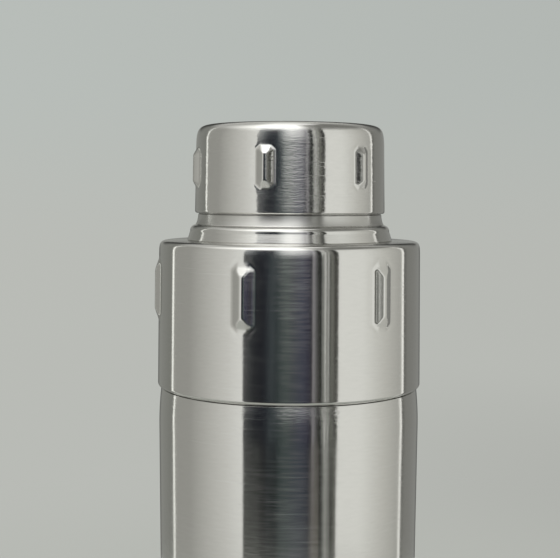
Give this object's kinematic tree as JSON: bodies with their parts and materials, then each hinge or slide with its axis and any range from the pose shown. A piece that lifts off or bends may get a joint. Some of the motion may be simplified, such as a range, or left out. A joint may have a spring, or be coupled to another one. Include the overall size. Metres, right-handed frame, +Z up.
{
  "type": "cocktail shaker",
  "caption": "Straight-sided steel cocktail shaker: tapered body tin, strainer top with a tall lugged sleeve, and a lugged cap over the neck.",
  "frame": {"origin": "middle of the base, on the surface that the shaker stands on", "axes": "+Z up the shaker's axis, from the base to the cap; one sleeve lug faces -Y"},
  "size_m": [0.0818, 0.084, 0.208],
  "materials": {
    "tin_steel": "polished, with fine lines round the wall",
    "sleeve_steel": "polished, with fine lines round the wall",
    "neck_steel": "polished",
    "strainer_steel": "satin",
    "cap_steel": "polished, with fine lines round the wall",
    "sleeve_silicone": "matte, translucent grey",
    "cap_silicone": "matte, translucent grey"
  },
  "bodies": {
    "tin": {"body_tin": "tin_steel"},
    "sleeve_gasket": {"collar_seal": "sleeve_silicone"},
    "strainer_top": {"collar_shell": "sleeve_steel", "neck_ring": "neck_steel", "strainer_plate": "strainer_steel"},
    "cap_gasket": {"cap_seal": "cap_silicone"},
    "cap": {"cap_shell": "cap_steel"}
  },
  "joints": [
    {"name": "strainer_top_lift", "type": "slide", "parent": "tin", "child": "sleeve_gasket", "axis": [0, 0, 1], "range_m": [0, 0.07]},
    {"name": "strainer_top_turn", "type": "hinge", "parent": "sleeve_gasket", "child": "strainer_top", "pos_m": [0, 0, 0.15], "axis": [0, 0, 1], "continuous": true},
    {"name": "cap_lift", "type": "slide", "parent": "strainer_top", "child": "cap_gasket", "axis": [0, 0, 1], "range_m": [0, 0.045]},
    {"name": "cap_turn", "type": "hinge", "parent": "cap_gasket", "child": "cap", "pos_m": [0, 0, 0.195], "axis": [0, 0, 1], "continuous": true}
  ]
}
